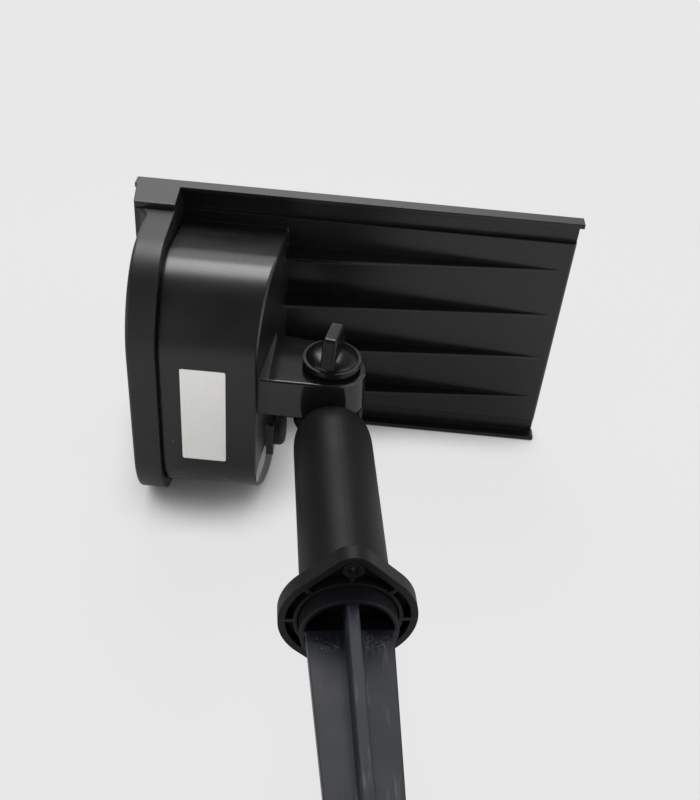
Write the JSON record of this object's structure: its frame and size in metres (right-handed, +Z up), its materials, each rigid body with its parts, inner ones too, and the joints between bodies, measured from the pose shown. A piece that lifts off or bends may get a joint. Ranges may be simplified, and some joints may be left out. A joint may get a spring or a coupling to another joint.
{
  "type": "solar spike light",
  "caption": "Garden light with a tilting solar-panel head, a lamp under its front end, a push button, a wing-knob hinge, and a flanged stem on a cross-bladed ground spike.",
  "frame": {"origin": "centre of the stem flange's underside, on the stem's axis", "axes": "+Z up the stem, +X along the hinge axis to the wing knob, +Y to the rear, away from the lamp"},
  "size_m": [0.117, 0.1842, 0.378],
  "materials": {
    "black_plastic": "fine-grained moulded black ABS",
    "solar_laminate": "dark blue-black solar laminate under clear resin",
    "sealant": "black adhesive sealant",
    "clear_plastic": "clear polycarbonate lens",
    "black_rubber": "soft black silicone rubber",
    "white_plastic": "white reflector plastic",
    "led_resin": "yellow phosphor resin",
    "circuit_board": "green solder mask",
    "switch_plastic": "black switch plastic",
    "cell_wrap": "blue shrink sleeve",
    "black_abs": "plain black ABS",
    "plated_steel": "zinc-plated steel"
  },
  "bodies": {
    "ground_spike": {"spike": "black_plastic"},
    "stem": {"stem": "black_plastic", "hinge_nut": "plated_steel", "friction_washer": "black_rubber"},
    "head": {"head_shell": "black_plastic", "front_bezel": "black_plastic", "solar_panel": "solar_laminate", "panel_seal": "sealant", "lens": "clear_plastic", "lens_gasket": "black_rubber", "reflector": "white_plastic", "leds": "led_resin", "led_board": "circuit_board", "control_board": "circuit_board", "tact_switch": "switch_plastic", "battery_cell": "cell_wrap", "battery_holder": "black_abs", "battery_contacts": "plated_steel", "bezel_screws": "plated_steel", "led_screws": "plated_steel", "control_screws": "plated_steel", "knob_washer": "plated_steel"},
    "knob": {"wing_knob": "black_plastic", "hinge_bolt": "plated_steel"},
    "button": {"push_button": "black_rubber"}
  },
  "joints": [
    {"name": "stem_lift", "type": "slide", "parent": "ground_spike", "child": "stem", "axis": [0, 0, 1], "range_m": [0, 0.032]},
    {"name": "head_tilt", "type": "hinge", "parent": "stem", "child": "head", "pos_m": [0, 0, 0.1095], "axis": [1, 0, 0], "range_deg": [-75, 20]},
    {"name": "knob_turn", "type": "hinge", "parent": "head", "child": "knob", "pos_m": [0.0181, 0, 0.1095], "axis": [1, 0, 0], "continuous": true},
    {"name": "button_press", "type": "slide", "parent": "head", "child": "button", "axis": [0, -0.9914, 0.1305], "range_m": [0, 0.001], "stiffness_N_per_m": 1500, "springref_m": -0.0004}
  ]
}
